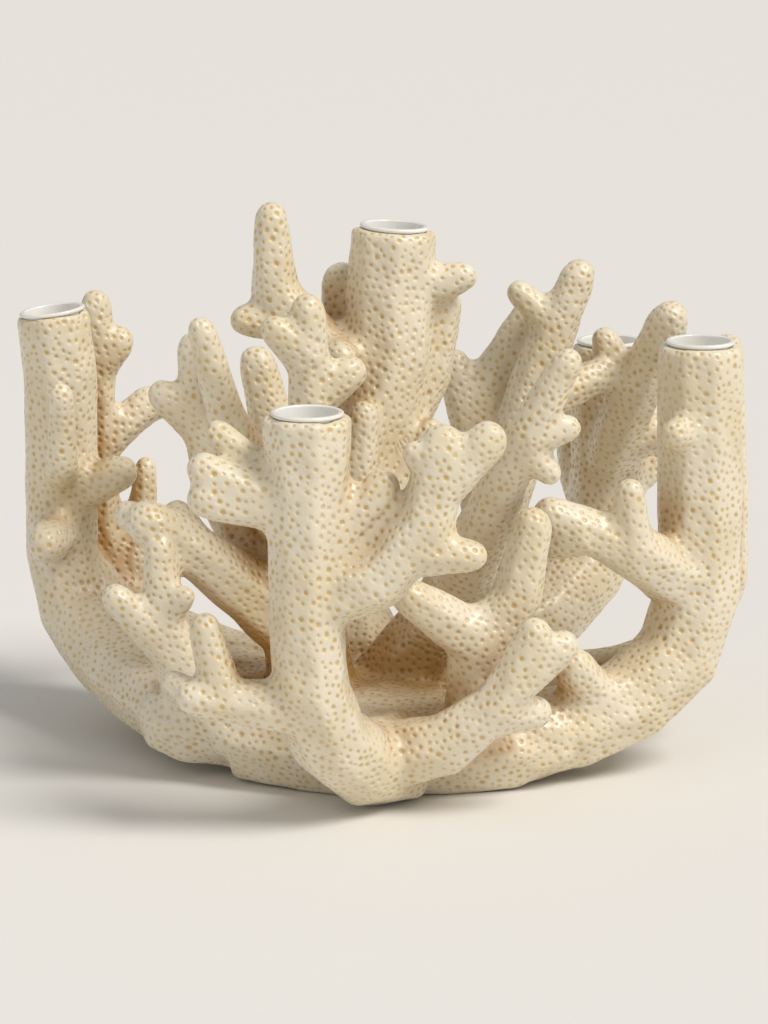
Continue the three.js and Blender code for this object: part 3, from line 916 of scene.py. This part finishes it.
def build_stage(stage, finish):
    """The floor, the lights and a camera that looks down at the holder from the front."""
    bpy.context.scene.view_settings.view_transform = "Standard"
    data = bpy.data.cameras.new("camera")
    data.sensor_fit = "VERTICAL"
    data.sensor_height = 36.0
    data.lens = stage.lens
    data.clip_end = 100.0
    camera = bpy.data.objects.new("camera", data)
    camera.location = (0.0, -stage.distance * math.cos(stage.pitch),
                       stage.aim + stage.distance * math.sin(stage.pitch))
    camera.rotation_euler = (math.radians(90) - stage.pitch, 0.0, 0.0)
    bpy.context.scene.collection.objects.link(camera)
    bpy.context.scene.camera = camera
    half = 6.0
    points = np.array([[-half, -half, 0], [half, -half, 0], [half, half, 0], [-half, half, 0]])
    floor = make_object("floor", points, np.array([[0, 1, 2, 3]]), None, {}, matt_paper(finish), False)
    world = bpy.data.worlds.new("studio")
    world.use_nodes = True
    background = world.node_tree.nodes["Background"]
    background.inputs["Color"].default_value = linear("#FFFFFF")
    background.inputs["Strength"].default_value = stage.sky
    bpy.context.scene.world = world
    key = bpy.data.objects.new("key_light", bpy.data.lights.new("key_light", "SUN"))
    key.data.energy = stage.sun
    key.data.angle = math.radians(28)
    key.data.color = linear("#FFF9F2")[:3]
    key.rotation_euler = (math.radians(38), 0.0, math.radians(62))
    bpy.context.scene.collection.objects.link(key)
    aim = (0.0, 0.0, stage.aim)
    area_light("fill_softbox", (-0.9, -1.3, 0.9), aim, 0.9, stage.fill, "#FFF8F0")


# ---- add-on ----

class CORAL_OT_casting(bpy.types.Operator):
    """Build the porous resin casting, one skin for each branch"""
    bl_idname = "coral.casting"
    bl_label = "Build coral casting"

    def execute(self, context):
        scene = context.scene
        build_coral(scene.coral, scene.coral_cups, scene.coral_finish)
        return {"FINISHED"}


class CORAL_OT_cups(bpy.types.Operator):
    """Build the enamelled candle cups"""
    bl_idname = "coral.cups"
    bl_label = "Build candle cups"

    def execute(self, context):
        build_cups(context.scene.coral_cups, context.scene.coral_finish)
        return {"FINISHED"}


class CORAL_OT_stage(bpy.types.Operator):
    """Build the floor, the lights and the camera"""
    bl_idname = "coral.stage"
    bl_label = "Build stage"

    def execute(self, context):
        build_stage(context.scene.coral_stage, context.scene.coral_finish)
        return {"FINISHED"}


class CORAL_PT_panel(bpy.types.Panel):
    """Lists the coral candle holder's operators"""
    bl_idname = "CORAL_PT_panel"
    bl_label = "Coral candle holder"
    bl_space_type = "VIEW_3D"
    bl_region_type = "UI"
    bl_category = "Coral"

    def draw(self, context):
        for name in ("coral.stage", "coral.casting", "coral.cups"):
            self.layout.operator(name)


CLASSES = (CoralSettings, CupSettings, FinishSettings, StageSettings, CORAL_OT_casting,
           CORAL_OT_cups, CORAL_OT_stage, CORAL_PT_panel)


def register():
    for cls in CLASSES:
        bpy.utils.register_class(cls)
    bpy.types.Scene.coral = bpy.props.PointerProperty(type=CoralSettings)
    bpy.types.Scene.coral_cups = bpy.props.PointerProperty(type=CupSettings)
    bpy.types.Scene.coral_finish = bpy.props.PointerProperty(type=FinishSettings)
    bpy.types.Scene.coral_stage = bpy.props.PointerProperty(type=StageSettings)


def unregister():
    del bpy.types.Scene.coral_stage
    del bpy.types.Scene.coral_finish
    del bpy.types.Scene.coral_cups
    del bpy.types.Scene.coral
    for cls in reversed(CLASSES):
        bpy.utils.unregister_class(cls)


def main():
    """Builds the stage, the casting and the cups."""
    register()
    bpy.ops.coral.stage()
    bpy.ops.coral.casting()
    bpy.ops.coral.cups()


if __name__ == "__main__":
    main()
